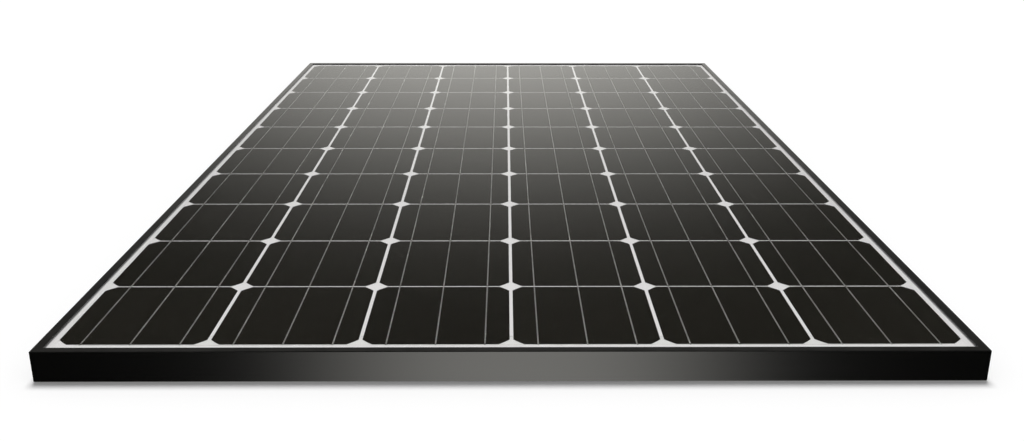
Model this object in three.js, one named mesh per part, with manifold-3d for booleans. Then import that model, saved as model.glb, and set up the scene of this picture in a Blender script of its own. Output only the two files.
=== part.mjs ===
// Framed solar panel: sixty pseudo-square silicon cells in six strings, laminated behind glass,
// held in an aluminium frame of four mitred rails, with a junction box on the back.
// Millimetres. X is across the panel, Y runs along it, Z is up and the glass faces up.
// The origin is on the ground, under the middle of the panel, which lies on its frame.
import * as THREE from "three";
import { mergeVertices } from "three/addons/utils/BufferGeometryUtils.js";
import Module from "manifold-3d";

const wasm = await Module();
wasm.setup();

// Driving dimensions of the panel
const cellSize = 156;
const cellCornerCut = 11.5;
const cellThickness = 0.2;
const columns = 6;
const rows = 10;
const columnGap = 4;
const rowGap = 2;
const sideBorder = 17;
const endBorder = 24;
const frameHeight = 35;

// Clearances, overruns and the step that coordinates are rounded to
const fitGap = 0.3;
const mitreGap = 0.3;
const overrun = 1;
const snapStep = 0.001;

// Frame rail section
const outerWall = 1.6;
const lipDepth = 10;
const lipThickness = 1.6;
const lipBevel = 0.5;
const outerEdgeRadius = 0.8;
const edgeSteps = 3;
const ledgeThickness = 1.5;
const chamberDepth = 12;
const chamberWall = 1.4;
const channelHeight = 10;
const longFlangeDepth = 30;
const shortFlangeDepth = 24;
const flangeThickness = 2;
const returnHeight = 2;
const returnThickness = 1.5;

// Holes in the frame's bottom flanges
const mountSlotLength = 14;
const mountSlotWidth = 9;
const mountSlotInsets = [190, 390];
const mountSlotSetBack = 10;
const groundHoleDiameter = 4.2;
const groundHoleInset = 560;
const drainSlotLength = 10;
const drainSlotWidth = 4;
const drainSlotInset = 60;
const drainSlotSetBack = 7;
const slotEndSteps = 6;

// Corner keys inside the rails
const keyArm = 46;
const keyToothPitch = 6;
const keyToothDepth = 0.7;

// Laminate, from the glass down, and the seal round its edge
const sealLeg = 0.7;
const sealWeb = 1.5;
const sealSetBack = 0.5;
const glassThickness = 3.2;
const frontEncapsulantThickness = 0.4;
const rearEncapsulantThickness = 0.7;
const backsheetThickness = 0.3;

// Ribbons: three tabs along each string, and buses behind the end cells
const tabWidth = 1.5;
const tabThickness = 0.2;
const tabsPerCell = 3;
const tabInset = 1.5;
const tabTurn = 1.5;
const busWidth = 5;
const busThickness = 0.25;
const busRowSpacing = 10;
const insulationThickness = 0.2;
const insulationMargin = 5;
const slitMargin = 0.5;

// Junction box
const boxWidth = 112;
const boxDepth = 96;
const boxHeight = 18;
const boxWall = 2;
const boxFloor = 2;
const boxSkirt = 5;
const boxCornerRadius = 4;
const boxToRail = 45;
const adhesiveThickness = 1;
const adhesiveSetBack = 1;
const windowMargin = 5;
const windowDepth = 12;
const windowSetBack = 16;
const leadWidth = 4.6;
const leadBend = 0.2;

// Terminals, clips and diodes in the junction box. Shares are of a terminal's length, from its front.
// Width shares and the diode's body share are of the pitch from terminal to terminal.
const terminals = 4;
const terminalMargin = 4;
const terminalWidthShare = 0.44;
const terminalThickness = 0.8;
const terminalFrontGap = 24;
const terminalRearGap = 4;
const seatHeight = 3;
const seatWidthShare = 0.36;
const seatShares = [0.08, 0.7];
const postShare = 0.45;
const postDiameter = 4;
const postHeight = 2.5;
const postSteps = 12;
const leadEndShare = 0.74;
const clipShares = [0.78, 0.9];
const clipThickness = 0.5;
const clipGap = 0.1;
const diodeShare = 0.2;
const diodeBodyDiameter = 5.4;
const diodeBodyShare = 0.368;
const diodeLeadDiameter = 1.3;
const diodeLeadGap = 1;
const diodeSteps = 12;

// Lid, its seal, hooks and hinge
const lidThickness = 2;
const lidGap = 0.8;
const lidSealWidth = 1.6;
const spigotHeight = 3;
const spigotThickness = 1.5;
const lidRibs = 3;
const lidRibPitch = 28;
const lidRibWidth = 8;
const lidRibHeight = 1;
const lidRibSetBack = 12;
const hookPlace = 8;
const hookWidth = 6;
const hookThickness = 1.2;
const hookRise = 4.5;
const hookBarb = 0.9;
const hookBarbHeight = 1.4;
const catchDepth = 1.1;
const catchHeight = 1.5;
const pegPlace = 34;
const pegLength = 8;
const pegDiameter = 4;
const pegDrop = 1;
const hingeGap = 1;
const hingeSideGap = 0.5;
const earWidth = 4;
const earHeight = 6;
const earWall = 1.5;
const knuckleWall = 1.7;
const knuckleMouth = 3.2;
const hingeSteps = 20;

// Cable glands, one on each side of the box's front wall
const glandPlace = 30;
const stubBore = 8;
const stubWall = 1.5;
const threadLength = 6;
const nutSetOff = 0.5;
const nutWall = 1.2;
const nutDomeLength = 3.5;
const nutDomeWall = 0.6;
const nutDomeRadius = 1.8;
const nutDomeSteps = 3;
const glandSealBore = 6;
const glandSealLength = 4.3;
const glandSteps = 24;
const hexSides = 6;

// Sizes that follow
const halfOf = (size) => size / 2;
const quarterTurn = halfOf(Math.PI);
const tabPitch = cellSize / tabsPerCell;
const columnPitch = cellSize + columnGap;
const rowPitch = cellSize + rowGap;
const gridWidth = columns * cellSize + (columns - 1) * columnGap;
const gridLength = rows * cellSize + (rows - 1) * rowGap;
const panelWidth = gridWidth + 2 * sideBorder;
const panelLength = gridLength + 2 * endBorder;
const lipUnderside = frameHeight - lipThickness;
const glassTop = lipUnderside - sealLeg;
const glassBottom = glassTop - glassThickness;
const tabTop = glassBottom - frontEncapsulantThickness;
const cellTop = tabTop - tabThickness;
const cellBottom = cellTop - cellThickness;
const tabBottom = cellBottom - tabThickness;
const insulationBottom = tabBottom - insulationThickness;
const busBottom = insulationBottom - busThickness;
const backsheetTop = tabBottom - rearEncapsulantThickness;
const laminateBottom = backsheetTop - backsheetThickness;
const ledgeTop = laminateBottom - sealLeg;
const chamberTop = ledgeTop - ledgeThickness;
const chamberBottom = flangeThickness + channelHeight + chamberWall;
const sealInset = outerWall + fitGap;
const laminateInset = sealInset + sealWeb;
const laminateWidth = panelWidth - 2 * laminateInset;
const laminateLength = panelLength - 2 * laminateInset;
const innerWidth = boxWidth - 2 * boxWall;
const innerDepth = boxDepth - 2 * boxWall;
const boxCentreY = halfOf(panelLength) - chamberDepth - boxToRail - halfOf(boxDepth);
const windowCentreY = halfOf(boxDepth) - boxWall - windowSetBack;
const leadDropY = boxCentreY + windowCentreY;
const terminalPitch = (innerWidth - 2 * terminalMargin) / terminals;
const terminalWidth = terminalWidthShare * terminalPitch;
const terminalFront = terminalFrontGap - halfOf(innerDepth);
const terminalRear = windowCentreY - terminalRearGap;
const alongTerminal = (share) => terminalFront + share * (terminalRear - terminalFront);

// Materials
const blackAnodised = new THREE.MeshStandardMaterial({ color: 0x1a1a19, roughness: 0.4, metalness: 0.6 });
const keyAluminium = new THREE.MeshStandardMaterial({ color: 0xb4b6b8, roughness: 0.5, metalness: 0.9 });
const sealant = new THREE.MeshStandardMaterial({ color: 0x2a2a2a, roughness: 0.8, metalness: 0 });
const panelGlass = new THREE.MeshStandardMaterial({
  color: 0xdfe6e4,
  roughness: 0.08,
  metalness: 0,
  transparent: true,
  opacity: 0.3,
});
const encapsulant = new THREE.MeshStandardMaterial({
  color: 0xf2f2ee,
  roughness: 0.3,
  metalness: 0,
  transparent: true,
  opacity: 0.3,
});
const silicon = new THREE.MeshStandardMaterial({ color: 0x1e1d1a, roughness: 0.35, metalness: 0 });
const tinnedCopper = new THREE.MeshStandardMaterial({ color: 0xc4c5c2, roughness: 0.35, metalness: 1 });
const whiteSheet = new THREE.MeshStandardMaterial({ color: 0xe6e5e3, roughness: 0.6, metalness: 0 });
const whiteStrip = new THREE.MeshStandardMaterial({ color: 0xeeeeea, roughness: 0.7, metalness: 0 });
const siliconeAdhesive = new THREE.MeshStandardMaterial({ color: 0xd8d8d4, roughness: 0.6, metalness: 0 });
const blackPlastic = new THREE.MeshStandardMaterial({ color: 0x141414, roughness: 0.55, metalness: 0 });
const blackRubber = new THREE.MeshStandardMaterial({ color: 0x0f0f0f, roughness: 0.85, metalness: 0 });
const springSteel = new THREE.MeshStandardMaterial({ color: 0x9da0a2, roughness: 0.3, metalness: 1 });

// Turns a three.js geometry into a manifold solid. Its coordinates are rounded to the snap step, so
// faces that are drawn at the same place meet exactly.
function solidOf(geometry) {
  const bare = geometry.clone();
  bare.deleteAttribute("normal");
  bare.deleteAttribute("uv");
  const places = bare.attributes.position.array;
  places.forEach((value, i) => {
    places[i] = Math.round(value / snapStep) * snapStep;
  });
  const merged = mergeVertices(bare);
  const mesh = new wasm.Mesh({
    numProp: 3,
    vertProperties: merged.attributes.position.array,
    triVerts: new Uint32Array(merged.index.array),
  });
  return new wasm.Manifold(mesh);
}

// Turns a manifold solid back into a three.js geometry with flat faces
function geometryOf(solid) {
  const mesh = solid.getMesh();
  const indexed = new THREE.BufferGeometry();
  indexed.setAttribute("position", new THREE.BufferAttribute(mesh.vertProperties, mesh.numProp));
  indexed.setIndex(new THREE.BufferAttribute(mesh.triVerts, 1));
  const flat = indexed.toNonIndexed();
  flat.computeVertexNormals();
  return flat;
}

// A block between two values on each axis
function block([x0, x1], [y0, y1], [z0, z1]) {
  const geometry = new THREE.BoxGeometry(x1 - x0, y1 - y0, z1 - z0);
  geometry.translate(halfOf(x0 + x1), halfOf(y0 + y1), halfOf(z0 + z1));
  return solidOf(geometry);
}

// A range of the given width about a centre
const about = (centre, width) => [centre - halfOf(width), centre + halfOf(width)];

// An outline in X and Y, raised along Z between two heights
function prism(outline, [z0, z1], holes = []) {
  const shape = new THREE.Shape(outline);
  shape.holes = holes.map((hole) => new THREE.Path(hole));
  const geometry = new THREE.ExtrudeGeometry(shape, { depth: z1 - z0, bevelEnabled: false });
  geometry.translate(0, 0, z0);
  return solidOf(geometry);
}

// Gives a prism's solid new axes: its own X, Y and Z become the three given directions
function turned(solid, [xTo, yTo, zTo]) {
  const geometry = geometryOf(solid);
  geometry.applyMatrix4(new THREE.Matrix4().makeBasis(xTo, yTo, zTo));
  return solidOf(geometry);
}
const axisX = new THREE.Vector3(1, 0, 0);
const axisY = new THREE.Vector3(0, 1, 0);
const axisZ = new THREE.Vector3(0, 0, 1);

// An outline in Y and Z, run along X
const runAlongX = (outline, span, holes) => turned(prism(outline, span, holes), [axisY, axisZ, axisX]);

// An outline in Z and X, run along Y
const runAlongY = (outline, span, holes) => turned(prism(outline, span, holes), [axisZ, axisX, axisY]);

const point = (x, y) => new THREE.Vector2(x, y);

// An outline of radius and height, drawn anticlockwise and turned about the Y axis
function revolved(outline) {
  const geometry = new THREE.LatheGeometry([...outline, outline[0]], glandSteps);
  return solidOf(geometry);
}

// Points along an arc, from one turn to another
function arc(radius, centre, from, to, steps) {
  return Array.from({ length: steps + 1 }, (_, i) => {
    const turn = from + (i / steps) * (to - from);
    return point(centre.x + radius * Math.cos(turn), centre.y + radius * Math.sin(turn));
  });
}

// A regular outline with flat sides
function ring(diameter, steps, centre = point(0, 0), startTurn = 0) {
  return Array.from({ length: steps }, (_, i) => {
    const turn = startTurn + (i / steps) * 2 * Math.PI;
    const radius = halfOf(diameter);
    return point(centre.x + radius * Math.cos(turn), centre.y + radius * Math.sin(turn));
  });
}

// A rectangle with rounded corners, as an outline about the origin
function roundedRectangle(width, depth, radius, steps = edgeSteps) {
  const outline = [];
  const quarters = [
    [1, 1],
    [-1, 1],
    [-1, -1],
    [1, -1],
  ];
  quarters.forEach(([signX, signY], quarter) => {
    const centre = point(signX * (halfOf(width) - radius), signY * (halfOf(depth) - radius));
    outline.push(...arc(radius, centre, quarter * quarterTurn, (quarter + 1) * quarterTurn, steps));
  });
  return outline;
}

// A slot with round ends, long along X, as an outline about a centre
function slotOutline(length, width, centre) {
  return [1, -1].flatMap((side) => {
    const middle = point(centre.x + side * halfOf(length - width), centre.y);
    return arc(halfOf(width), middle, -side * quarterTurn, (2 - side) * quarterTurn, slotEndSteps);
  });
}

function part(name, solid, material) {
  const mesh = new THREE.Mesh(geometryOf(solid), material);
  mesh.name = name;
  return mesh;
}

const panel = new THREE.Group();

// Frame rails: extruded aluminium, mitred at the corners. A lip holds the laminate down on a ledge,
// a hollow chamber under the ledge takes the corner keys, and a flange at the bottom is bolted down.
function railSection(flangeDepth) {
  const corner = point(outerEdgeRadius, frameHeight - outerEdgeRadius);
  const roundTop = arc(outerEdgeRadius, corner, quarterTurn, Math.PI, edgeSteps);
  return [
    point(outerEdgeRadius, 0),
    point(flangeDepth, 0),
    point(flangeDepth, flangeThickness + returnHeight),
    point(flangeDepth - returnThickness, flangeThickness + returnHeight),
    point(flangeDepth - returnThickness, flangeThickness),
    point(outerWall, flangeThickness),
    point(outerWall, chamberBottom - chamberWall),
    point(chamberDepth, chamberBottom - chamberWall),
    point(chamberDepth, ledgeTop),
    point(outerWall, ledgeTop),
    point(outerWall, lipUnderside),
    point(lipDepth, lipUnderside),
    point(lipDepth, frameHeight - lipBevel),
    point(lipDepth - lipBevel, frameHeight),
    ...roundTop,
    point(0, outerEdgeRadius),
  ];
}

const chamberHole = [
  point(outerWall, chamberBottom),
  point(outerWall, chamberTop),
  point(chamberDepth - chamberWall, chamberTop),
  point(chamberDepth - chamberWall, chamberBottom),
];

// A rail of a given length along X, with its outer face on the plane Y = 0 and its inside towards +Y
function rail(length, flangeDepth, slots) {
  const half = halfOf(length);
  const outline = railSection(flangeDepth);
  const blank = turned(prism(outline, [-half, half], [chamberHole]), [axisY, axisZ, axisX]);
  const endGap = mitreGap / Math.SQRT2;
  const reach = flangeDepth + overrun;
  const mitres = [
    point(-half - overrun + endGap, -overrun),
    point(half + overrun - endGap, -overrun),
    point(half - reach - endGap, reach),
    point(-half + reach + endGap, reach),
  ];
  let made = blank.intersect(prism(mitres, [-overrun, frameHeight + overrun]));
  slots.forEach((slot) => {
    made = made.subtract(prism(slot, [-overrun, flangeThickness + overrun]));
  });
  return made;
}

function longRailSlots() {
  const half = halfOf(panelLength);
  const depth = longFlangeDepth - mountSlotSetBack;
  const places = mountSlotInsets.flatMap((inset) => [inset - half, half - inset]);
  const slots = places.map((x) => slotOutline(mountSlotLength, mountSlotWidth, point(x, depth)));
  const grounds = [groundHoleInset - half, half - groundHoleInset].map((x) =>
    ring(groundHoleDiameter, postSteps, point(x, depth)),
  );
  return [...slots, ...grounds];
}

function shortRailSlots() {
  const half = halfOf(panelWidth);
  const depth = shortFlangeDepth - drainSlotSetBack;
  return [drainSlotInset - half, half - drainSlotInset].map((x) =>
    slotOutline(drainSlotLength, drainSlotWidth, point(x, depth)),
  );
}

const longRail = rail(panelLength, longFlangeDepth, longRailSlots());
const shortRail = rail(panelWidth, shortFlangeDepth, shortRailSlots());
[
  ["frame_rail_front", shortRail, 0, -halfOf(panelLength), 0],
  ["frame_rail_right", longRail, halfOf(panelWidth), 0, 1],
  ["frame_rail_rear", shortRail, 0, halfOf(panelLength), 2],
  ["frame_rail_left", longRail, -halfOf(panelWidth), 0, 3],
].forEach(([name, solid, x, y, turns]) => {
  const mesh = part(name, solid, blackAnodised);
  mesh.position.set(x, y, 0);
  mesh.rotation.z = turns * quarterTurn;
  panel.add(mesh);
});

// Corner keys: extruded aluminium angles pressed into the chambers of two rails, held by their teeth
function cornerKey() {
  const outer = outerWall + fitGap;
  const inner = chamberDepth - chamberWall - fitGap;
  const count = Math.floor((keyArm - chamberDepth) / keyToothPitch) - 1;
  const teeth = Array.from({ length: count }, (_, i) => keyArm - i * keyToothPitch);
  const alongX = teeth.flatMap((x) => [point(x, inner - keyToothDepth), point(x - keyToothPitch, inner)]);
  const alongY = alongX.map(({ x, y }) => point(y, x)).reverse();
  const outline = [point(outer, outer), point(keyArm, outer), ...alongX, point(inner, inner)];
  outline.push(...alongY, point(outer, keyArm));
  return prism(outline, [chamberBottom, chamberTop]);
}

const key = cornerKey();
[
  ["corner_key_front_left", -1, -1, 0],
  ["corner_key_front_right", 1, -1, 1],
  ["corner_key_rear_right", 1, 1, 2],
  ["corner_key_rear_left", -1, 1, 3],
].forEach(([name, signX, signY, turns]) => {
  const mesh = part(name, key, keyAluminium);
  mesh.position.set(signX * halfOf(panelWidth), signY * halfOf(panelLength), 0);
  mesh.rotation.z = turns * quarterTurn;
  panel.add(mesh);
});

// Edge seal: a U-shaped strip that wraps the laminate's edge and fills the frame's groove
function edgeSeal() {
  const outerWidth = panelWidth - 2 * sealInset;
  const outerLength = panelLength - 2 * sealInset;
  const windowWide = panelWidth - 2 * (lipDepth - sealSetBack);
  const windowLong = panelLength - 2 * (lipDepth - sealSetBack);
  const heights = [ledgeTop, lipUnderside];
  const beyond = [ledgeTop - overrun, lipUnderside + overrun];
  return block(about(0, outerWidth), about(0, outerLength), heights)
    .subtract(block(about(0, laminateWidth), about(0, laminateLength), [laminateBottom, glassTop]))
    .subtract(block(about(0, windowWide), about(0, windowLong), beyond));
}
panel.add(part("edge_seal", edgeSeal(), sealant));

// Laminate: glass, front encapsulant, cell strings, rear encapsulant and backsheet
const layer = (heights) => block(about(0, laminateWidth), about(0, laminateLength), heights);
panel.add(part("front_glass", layer([glassBottom, glassTop]), panelGlass));
panel.add(part("front_encapsulant", layer([tabTop, glassBottom]), encapsulant));

// Cell strings: ten cells soldered in series. Each tab runs over the front of one cell, dips through
// the gap and runs under the next. Neighbouring strings run opposite ways.
const stringX = (column) => (column - halfOf(columns - 1)) * columnPitch;
const cellY = (row) => (row - halfOf(rows - 1)) * rowPitch;
const tabX = (tab) => (tab - halfOf(tabsPerCell - 1)) * tabPitch;
const cellEnd = halfOf(gridLength);

function cellOutline(centre) {
  const half = halfOf(cellSize);
  const near = half - cellCornerCut;
  return [
    [near, -half],
    [half, -near],
    [half, near],
    [near, half],
    [-near, half],
    [-half, near],
    [-half, -near],
    [-near, -half],
  ].map(([x, y]) => point(x, centre + y));
}

// Tab profiles in Y and Z for a string that runs forward: over cell "row" and under the next
function linkProfile(row) {
  const start = cellY(row) - halfOf(cellSize) + tabInset;
  const leave = cellY(row) + halfOf(cellSize);
  const enter = cellY(row + 1) - halfOf(cellSize);
  const end = cellY(row + 1) + halfOf(cellSize) - tabInset;
  return [
    point(start, cellTop),
    point(leave, cellTop),
    point(enter, tabBottom),
    point(end, tabBottom),
    point(end, cellBottom),
    point(enter, cellBottom),
    point(leave, tabTop),
    point(start, tabTop),
  ];
}

// The first cell's rear tab, which turns down to the bus behind the cell
const firstProfile = [
  point(-cellEnd - tabTurn - busThickness, insulationBottom),
  point(-cellEnd - tabTurn, insulationBottom),
  point(-cellEnd - tabTurn, tabBottom),
  point(-cellEnd + cellSize - tabInset, tabBottom),
  point(-cellEnd + cellSize - tabInset, cellBottom),
  point(-cellEnd - tabTurn - busThickness, cellBottom),
];

// The last cell's front tab, which passes the cell's edge and turns down to the bus
const lastProfile = [
  point(cellEnd - cellSize + tabInset, cellTop),
  point(cellEnd + tabTurn, cellTop),
  point(cellEnd + tabTurn, insulationBottom),
  point(cellEnd + tabTurn + busThickness, insulationBottom),
  point(cellEnd + tabTurn + busThickness, tabTop),
  point(cellEnd - cellSize + tabInset, tabTop),
];

function cellString() {
  const profiles = [firstProfile, lastProfile];
  for (let row = 0; row < rows - 1; row += 1) profiles.push(linkProfile(row));
  let made = prism(cellOutline(cellY(0)), [cellBottom, cellTop]);
  for (let row = 1; row < rows; row += 1) {
    made = made.add(prism(cellOutline(cellY(row)), [cellBottom, cellTop]));
  }
  for (let tab = 0; tab < tabsPerCell; tab += 1) {
    profiles.forEach((profile) => {
      made = made.add(runAlongX(profile, about(tabX(tab), tabWidth)));
    });
  }
  return made;
}

const forwardString = cellString();
for (let column = 0; column < columns; column += 1) {
  const mesh = part(`cell_string_${column + 1}`, forwardString, silicon);
  mesh.position.x = stringX(column);
  mesh.rotation.z = column % 2 ? Math.PI : 0;
  panel.add(mesh);
}

// Bus ribbons: tinned copper strips behind the end cells that join the strings in series.
// Those at the rear carry leads to the junction box.
const tabReach = tabX(tabsPerCell - 1) + tabWidth;
const busOuter = cellEnd + tabTurn + busThickness;
const busRowA = [busOuter - busWidth, busOuter];
const busRowB = busRowA.map((y) => y - busRowSpacing);
const busHeights = [busBottom, insulationBottom];
const leadX = (terminal) => (terminal - halfOf(terminals - 1)) * terminalPitch;
const seatBottom = laminateBottom - adhesiveThickness - boxFloor - seatHeight;
const terminalBottom = seatBottom - terminalThickness;
const leadFoot = terminalBottom - busThickness;

for (let pair = 0; pair < halfOf(columns); pair += 1) {
  const span = [stringX(2 * pair) - tabReach, stringX(2 * pair + 1) + tabReach];
  const strip = block(span, [-busOuter, -busOuter + busWidth], busHeights);
  panel.add(part(`bus_ribbon_front_${pair + 1}`, strip, tinnedCopper));
}

// A lead: soldered to a bus, down through the backsheet, and over the terminal
function lead(terminal) {
  const drop = [leadDropY + leadBend, leadDropY + leadBend + busThickness];
  const top = halfOf(busBottom + insulationBottom);
  const profile = [
    point(boxCentreY + alongTerminal(leadEndShare), leadFoot),
    point(drop[1], leadFoot),
    point(drop[1], top),
    point(drop[0], top),
    point(drop[0], terminalBottom),
    point(boxCentreY + alongTerminal(leadEndShare), terminalBottom),
  ];
  return runAlongX(profile, about(leadX(terminal), leadWidth));
}

function rearBus(terminal, corners) {
  const side = Math.sign(leadX(terminal));
  const outline = corners.map(([x, y]) => point(side * x, y));
  return prism(outline, busHeights).add(lead(terminal));
}

// An inner bus joins the second and third strings of its side, and turns back at its lead
function innerBus(terminal) {
  const far = stringX(columns - 2) + tabReach;
  const [near, bend] = about(Math.abs(leadX(terminal)), busWidth);
  return rearBus(terminal, [
    [near, busRowA[1]],
    [far, busRowA[1]],
    [far, busRowA[0]],
    [bend, busRowA[0]],
    [bend, leadDropY],
    [near, leadDropY],
  ]);
}

// An outer bus starts on the outermost string, and steps past the inner bus on its way to its lead
function outerBus(terminal) {
  const far = stringX(columns - 1) + tabReach;
  const step = stringX(columns - 1) - tabReach;
  const [near, bend] = about(Math.abs(leadX(terminal)), busWidth);
  return rearBus(terminal, [
    [far, busRowA[1]],
    [far, busRowA[0]],
    [step, busRowA[0]],
    [step, busRowB[0]],
    [bend, busRowB[0]],
    [bend, leadDropY],
    [near, leadDropY],
    [near, busRowB[1]],
    [step - busWidth, busRowB[1]],
    [step - busWidth, busRowA[1]],
  ]);
}
const rearBusMakers = [outerBus, innerBus, innerBus, outerBus];
rearBusMakers.forEach((make, terminal) => {
  panel.add(part(`bus_ribbon_rear_${terminal + 1}`, make(terminal), tinnedCopper));
});

// Insulation strips: between the backs of the end cells and the bus ribbons
const insulationEdge = cellEnd + tabTurn - fitGap;
const insulationHalfWidth = stringX(columns - 1) + tabReach + insulationMargin;
const leadZoneHalfWidth = leadX(terminals - 1) + busWidth;
const leadZoneFront = leadDropY + busThickness + fitGap;

function insulationStrip(end, grow, front, heights) {
  const wide = insulationHalfWidth + grow;
  const narrow = leadZoneHalfWidth + grow;
  const outer = insulationEdge + grow;
  const inner = busRowB[0] - insulationMargin - grow;
  if (end < 0) return block([-wide, wide], [-outer, -inner], heights);
  const outline = [
    [wide, outer],
    [-wide, outer],
    [-wide, inner],
    [-narrow, inner],
    [-narrow, front],
    [narrow, front],
    [narrow, inner],
    [wide, inner],
  ].map(([x, y]) => point(x, y));
  return prism(outline, heights);
}
[
  ["front", -1],
  ["rear", 1],
].forEach(([name, end]) => {
  const strip = insulationStrip(end, 0, leadZoneFront, [insulationBottom, tabBottom]);
  panel.add(part(`insulation_strip_${name}`, strip, whiteStrip));
});

// Rear encapsulant: its border and the ridges between the strings fill up to the front layer. It has
// pockets that the ribbons and insulation press into, and slits for the leads.
const pocketEdge = busOuter + fitGap;

function slits(heights) {
  return Array.from({ length: terminals }, (_, terminal) => {
    const across = about(leadX(terminal), busWidth + 2 * slitMargin);
    const along = about(leadDropY + leadBend + halfOf(busThickness), busThickness + 2 * slitMargin);
    return block(across, along, heights);
  });
}

function rearEncapsulant() {
  const past = pocketEdge - insulationEdge;
  const front = leadDropY - 2 * slitMargin;
  let made = layer([backsheetTop, tabTop]);
  for (let column = 0; column < columns; column += 1) {
    const across = about(stringX(column), cellSize + 2 * fitGap);
    made = made.subtract(block(across, about(0, 2 * (pocketEdge + fitGap)), [tabBottom, tabTop + overrun]));
  }
  [-1, 1].forEach((end) => {
    made = made.subtract(insulationStrip(end, past, front, [busBottom, tabTop + overrun]));
  });
  slits([backsheetTop - overrun, tabBottom]).forEach((slit) => {
    made = made.subtract(slit);
  });
  return made;
}
panel.add(part("rear_encapsulant", rearEncapsulant(), encapsulant));

function backsheet() {
  let made = layer([laminateBottom, backsheetTop]);
  slits([laminateBottom - overrun, backsheetTop + overrun]).forEach((slit) => {
    made = made.subtract(slit);
  });
  return made;
}
panel.add(part("backsheet", backsheet(), whiteSheet));

// Junction box: everything below is in the box's own frame, with Z = 0 on the backsheet
const box = new THREE.Group();
box.position.set(0, boxCentreY, laminateBottom);
panel.add(box);

const floorTop = -adhesiveThickness;
const floorBottom = floorTop - boxFloor;
const rim = floorTop - boxHeight;
const windowWidth = 2 * leadX(terminals - 1) + busWidth + 2 * windowMargin;
const windowSpanY = about(windowCentreY, windowDepth);
const boxWindow = (heights) => block(about(0, windowWidth), windowSpanY, heights);

// Adhesive: a silicone pad that fixes the box to the backsheet
function adhesivePad() {
  const width = boxWidth + 2 * (boxSkirt - adhesiveSetBack);
  const depth = boxDepth + 2 * (boxSkirt - adhesiveSetBack);
  const pad = prism(roundedRectangle(width, depth, boxCornerRadius), [floorTop, 0]);
  return pad.subtract(boxWindow([floorTop - overrun, overrun]));
}
box.add(part("junction_box_adhesive", adhesivePad(), siliconeAdhesive));

// Base: a moulded tray with a skirt, terminal seats, threaded stubs, catches and hinge pegs
const stubZ = halfOf(floorBottom + rim);
const stubDiameter = stubBore + 2 * stubWall;
const frontFace = -halfOf(boxDepth);
const nutStart = frontFace - boxSkirt - nutSetOff;
const stubEnd = nutStart - threadLength;
const rearFace = halfOf(boxDepth);
const knuckleBore = halfOf(pegDiameter) + fitGap;
const knuckleOuter = knuckleBore + knuckleWall;
const hingeY = rearFace + knuckleOuter + hingeGap;
const lidTop = rim - lidGap;
const lidBottom = lidTop - lidThickness;
const hingeZ = rim - pegDrop;
const catchBottom = rim + hookRise - catchHeight - hookBarbHeight - fitGap;

const hinge = point(hingeY, hingeZ);
const floorMiddle = halfOf(floorTop + floorBottom);

function hingeEar(side) {
  const radius = halfOf(pegDiameter) + earWall;
  const meet = Math.PI - Math.asin(pegDrop / radius);
  const outline = [
    point(rearFace - halfOf(boxWall), rim + earHeight),
    point(rearFace - halfOf(boxWall), rim),
    ...arc(radius, hinge, meet, 2 * Math.PI, halfOf(hingeSteps)),
    point(hingeY + radius, rim + earHeight),
  ];
  const middle = pegPlace - halfOf(pegLength + earWidth);
  const pegSpan = [side * middle, side * (middle + halfOf(earWidth) + pegLength)].sort((a, b) => a - b);
  const peg = runAlongX(ring(pegDiameter, hingeSteps, hinge), pegSpan);
  return runAlongX(outline, about(side * middle, earWidth)).add(peg);
}

function boxBase() {
  const skirt = roundedRectangle(boxWidth + 2 * boxSkirt, boxDepth + 2 * boxSkirt, boxCornerRadius);
  const outer = roundedRectangle(boxWidth, boxDepth, boxCornerRadius);
  const inner = roundedRectangle(innerWidth, innerDepth, boxCornerRadius - boxWall);
  const walls = prism(outer, [rim, floorMiddle]).subtract(prism(inner, [rim - overrun, floorBottom]));
  let made = prism(skirt, [floorBottom, floorTop]).add(walls);
  for (let terminal = 0; terminal < terminals; terminal += 1) {
    const x = leadX(terminal);
    const seatSpan = [floorBottom - seatHeight, floorMiddle];
    const seat = block(about(x, seatWidthShare * terminalPitch), seatShares.map(alongTerminal), seatSpan);
    const postSpan = [floorBottom - seatHeight - postHeight, floorMiddle];
    const post = prism(ring(postDiameter, postSteps, point(x, alongTerminal(postShare))), postSpan);
    made = made.add(seat).add(post);
  }
  [-1, 1].forEach((side) => {
    const stubCentre = point(stubZ, side * glandPlace);
    const stubSpan = [stubEnd, frontFace + halfOf(boxWall)];
    made = made.add(runAlongY(ring(stubDiameter, glandSteps, stubCentre), stubSpan));
    const boreSpan = [stubEnd - overrun, frontFace + boxWall + overrun];
    made = made.subtract(runAlongY(ring(stubBore, glandSteps, stubCentre), boreSpan));
    const catchSpan = [frontFace - catchDepth, frontFace + halfOf(boxWall)];
    const ledge = [catchBottom, catchBottom + catchHeight];
    made = made.add(block(about(side * hookPlace, hookWidth), catchSpan, ledge)).add(hingeEar(side));
  });
  return made.subtract(boxWindow([floorBottom - overrun, floorTop + overrun]));
}
box.add(part("junction_box_base", boxBase(), blackPlastic));

// Lid: a plate with a rim that plugs into the box, two snap hooks, and knuckles that snap on the pegs
const lidMiddle = halfOf(lidBottom + lidTop);
const rootHeights = [lidBottom + fitGap, lidTop - fitGap];

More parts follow.
